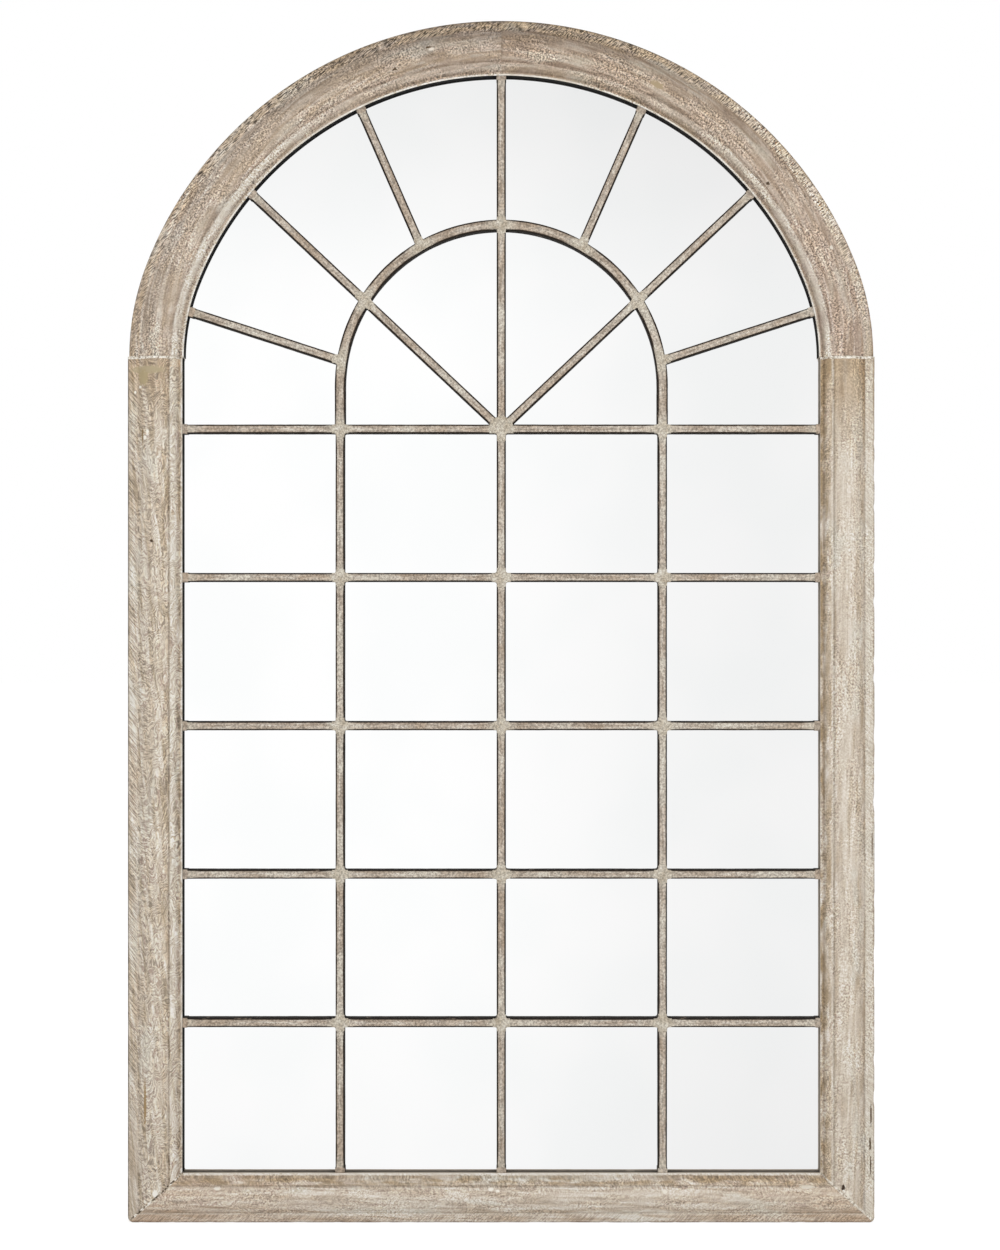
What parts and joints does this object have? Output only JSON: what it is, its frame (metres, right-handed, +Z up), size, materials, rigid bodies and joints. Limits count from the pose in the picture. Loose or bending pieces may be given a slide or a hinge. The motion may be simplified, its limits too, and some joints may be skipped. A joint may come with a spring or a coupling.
{
  "type": "arched window mirror",
  "caption": "Tall arched wall mirror in a moulded wooden frame, with a welded grille of glazing bars and a fan under the arch, hung by rings on its back.",
  "frame": {"origin": "on the back plane, in the middle of the width, at the height of the two hangers' hinge line", "axes": "+Z up, +X to the right seen from the front, the front faces -Y"},
  "size_m": [0.87, 0.0412, 1.4],
  "materials": {
    "frame_wood": "limewashed and distressed",
    "dowel_wood": "plain beech",
    "board_wood": "hardboard",
    "mirror": "silvered",
    "bar_paint": "limewashed, as the frame",
    "weld_paint": "rough weld under paint",
    "hanger_steel": "zinc plated",
    "screw_steel": "zinc plated",
    "bumper_rubber": "matt"
  },
  "bodies": {
    "frame": {"left_stile": "frame_wood", "right_stile": "frame_wood", "bottom_rail": "frame_wood", "arch_left": "frame_wood", "arch_right": "frame_wood", "joint_dowels": "dowel_wood", "mirror_glass": "mirror", "backing_board": "board_wood", "board_screws": "screw_steel", "springing_bar": "bar_paint", "crossbar_1": "bar_paint", "crossbar_2": "bar_paint", "crossbar_3": "bar_paint", "crossbar_4": "bar_paint", "upright_left_1": "bar_paint", "upright_left_2": "bar_paint", "upright_left_3": "bar_paint", "upright_left_4": "bar_paint", "upright_left_5": "bar_paint", "upright_middle_1": "bar_paint", "upright_middle_2": "bar_paint", "upright_middle_3": "bar_paint", "upright_middle_4": "bar_paint", "upright_middle_5": "bar_paint", "upright_right_1": "bar_paint", "upright_right_2": "bar_paint", "upright_right_3": "bar_paint", "upright_right_4": "bar_paint", "upright_right_5": "bar_paint", "hoop_bar": "bar_paint", "spoke_lower": "bar_paint", "spoke_upper": "bar_paint", "diagonal_left": "bar_paint", "diagonal_right": "bar_paint", "ray_low_left": "bar_paint", "ray_low_right": "bar_paint", "ray_middle_left": "bar_paint", "ray_middle_right": "bar_paint", "ray_high_left": "bar_paint", "ray_high_right": "bar_paint", "weld_fillets": "weld_paint", "strap_left": "hanger_steel", "strap_right": "hanger_steel", "hanger_screws": "screw_steel", "wall_bumpers": "bumper_rubber"},
    "left_hanging_ring": {"ring_left": "hanger_steel"},
    "right_hanging_ring": {"ring_right": "hanger_steel"}
  },
  "joints": [
    {"name": "left_ring_hinge", "type": "hinge", "parent": "frame", "child": "left_hanging_ring", "pos_m": [-0.4145, 0.0031, 0], "axis": [1, 0, 0], "range_deg": [0, 180]},
    {"name": "right_ring_hinge", "type": "hinge", "parent": "frame", "child": "right_hanging_ring", "pos_m": [0.4145, 0.0031, 0], "axis": [1, 0, 0], "range_deg": [0, 180]}
  ]
}
